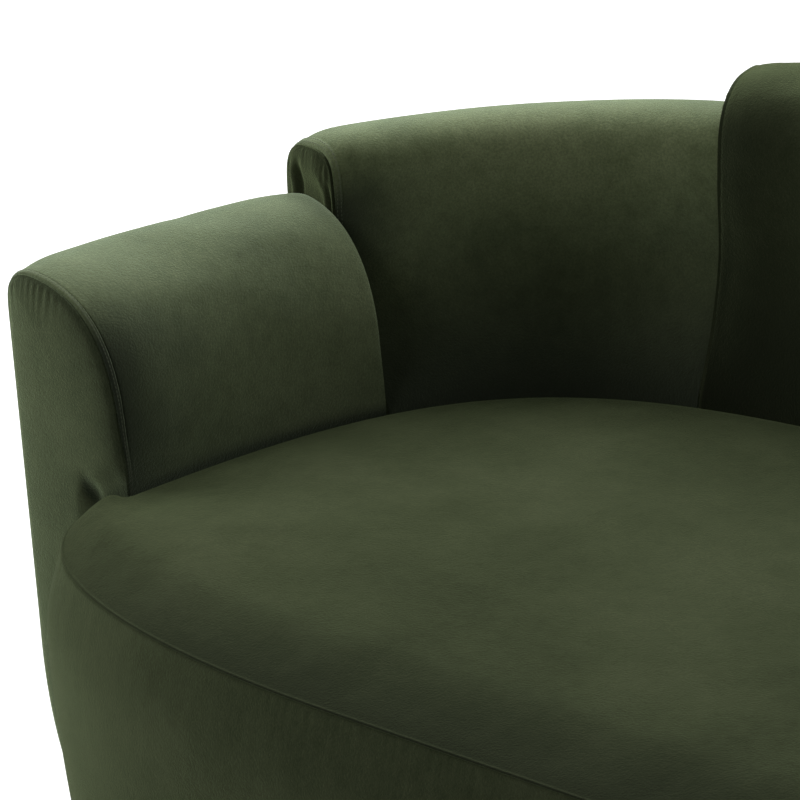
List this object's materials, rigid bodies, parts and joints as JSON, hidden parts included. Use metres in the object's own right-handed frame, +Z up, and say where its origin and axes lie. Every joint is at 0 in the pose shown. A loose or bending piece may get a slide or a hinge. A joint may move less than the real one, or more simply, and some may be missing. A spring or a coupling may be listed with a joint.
{
  "type": "curved sofa",
  "caption": "Low curved sofa with a D-shaped seat and a padded back that steps up from the arms over two wings to a tall centre section.",
  "frame": {"origin": "on the floor, under the middle of the sofa's width and depth", "axes": "+X to the right for someone who faces the sofa, +Y to its back, +Z up"},
  "size_m": [2.3398, 1.059, 0.781],
  "materials": {
    "velvet": "dark green velvet with a soft nap",
    "foam": "upholstery foam",
    "plywood": "plain birch plywood",
    "black_board": "black-stained board",
    "webbing": "woven elastic webbing",
    "steel": "zinc-plated steel",
    "glide": "black plastic glide"
  },
  "bodies": {
    "root": {"arm_left_bolt_1": "steel", "arm_left_bolt_2": "steel", "arm_left_cover": "velvet", "arm_left_foam": "foam", "arm_left_frame": "plywood", "arm_left_front_panel": "velvet", "arm_right_bolt_1": "steel", "arm_right_bolt_2": "steel", "arm_right_cover": "velvet", "arm_right_foam": "foam", "arm_right_frame": "plywood", "arm_right_front_panel": "velvet", "back_bolt_1": "steel", "back_bolt_2": "steel", "back_cover": "velvet", "back_foam": "foam", "back_frame": "plywood", "back_left_end_panel": "velvet", "back_right_end_panel": "velvet", "base_board": "black_board", "cross_rail_1": "plywood", "cross_rail_2": "plywood", "cross_rail_3": "plywood", "front_band_foam": "foam", "front_rail": "plywood", "glide_1": "glide", "glide_2": "glide", "glide_3": "glide", "glide_4": "glide", "glide_5": "glide", "glide_6": "glide", "glide_left_arm": "glide", "glide_left_wing": "glide", "glide_right_arm": "glide", "glide_right_wing": "glide", "rail_left_side": "plywood", "rail_right_side": "plywood", "rear_rail": "plywood", "runner_front": "black_board", "runner_left_side": "black_board", "runner_rear": "black_board", "runner_right_side": "black_board", "seat_foam": "foam", "seat_front_band": "velvet", "seat_top_cover": "velvet", "seat_webbing": "webbing", "wing_left_bolt_1": "steel", "wing_left_bolt_2": "steel", "wing_left_cover": "velvet", "wing_left_end_panel": "velvet", "wing_left_foam": "foam", "wing_left_frame": "plywood", "wing_right_bolt_1": "steel", "wing_right_bolt_2": "steel", "wing_right_cover": "velvet", "wing_right_end_panel": "velvet", "wing_right_foam": "foam", "wing_right_frame": "plywood"}
  },
  "joints": []
}
